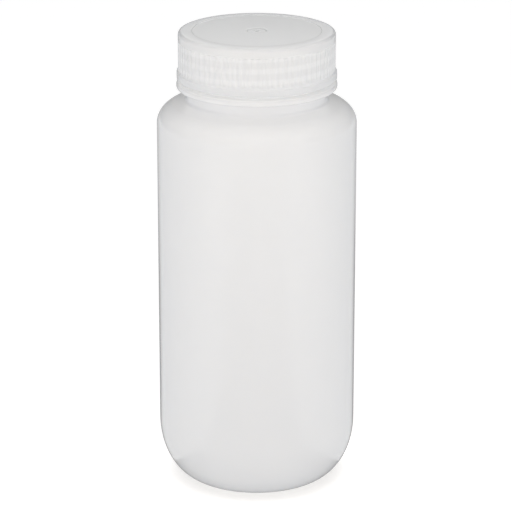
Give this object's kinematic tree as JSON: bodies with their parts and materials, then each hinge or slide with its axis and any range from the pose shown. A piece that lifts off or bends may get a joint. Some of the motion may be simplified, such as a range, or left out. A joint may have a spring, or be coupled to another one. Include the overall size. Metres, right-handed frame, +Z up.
{
  "type": "wide-mouth reagent bottle",
  "caption": "Round wide-mouth reagent bottle in translucent plastic, with a rounded shoulder and heel and a ribbed screw cap over a loose sealing disc.",
  "frame": {"origin": "centre of the foot ring, on the surface that the bottle stands on", "axes": "+Z up along the bottle's axis towards the cap; +X and +Y across it, with the camera side at -Y"},
  "size_m": [0.073, 0.073, 0.171],
  "materials": {
    "bottle_plastic": "smooth satin, natural translucent polypropylene",
    "disc_plastic": "smooth matt, white polyethylene foam disc",
    "cap_plastic": "satin, natural translucent polypropylene"
  },
  "bodies": {
    "bottle": {"bottle": "bottle_plastic"},
    "seal": {"sealing_disc": "disc_plastic"},
    "cap": {"screw_cap": "cap_plastic"}
  },
  "joints": [
    {"name": "cap_rise", "type": "slide", "parent": "bottle", "child": "seal", "axis": [0, 0, 1], "range_m": [0, 0.017]},
    {"name": "cap_turn", "type": "hinge", "parent": "seal", "child": "cap", "pos_m": [0, 0, 0.16], "axis": [0, 0, 1], "range_deg": [0, 1440]}
  ],
  "couplings": [
    {"joint": "cap_rise", "follows": "cap_turn", "m_per_rad": 0.0006737}
  ]
}
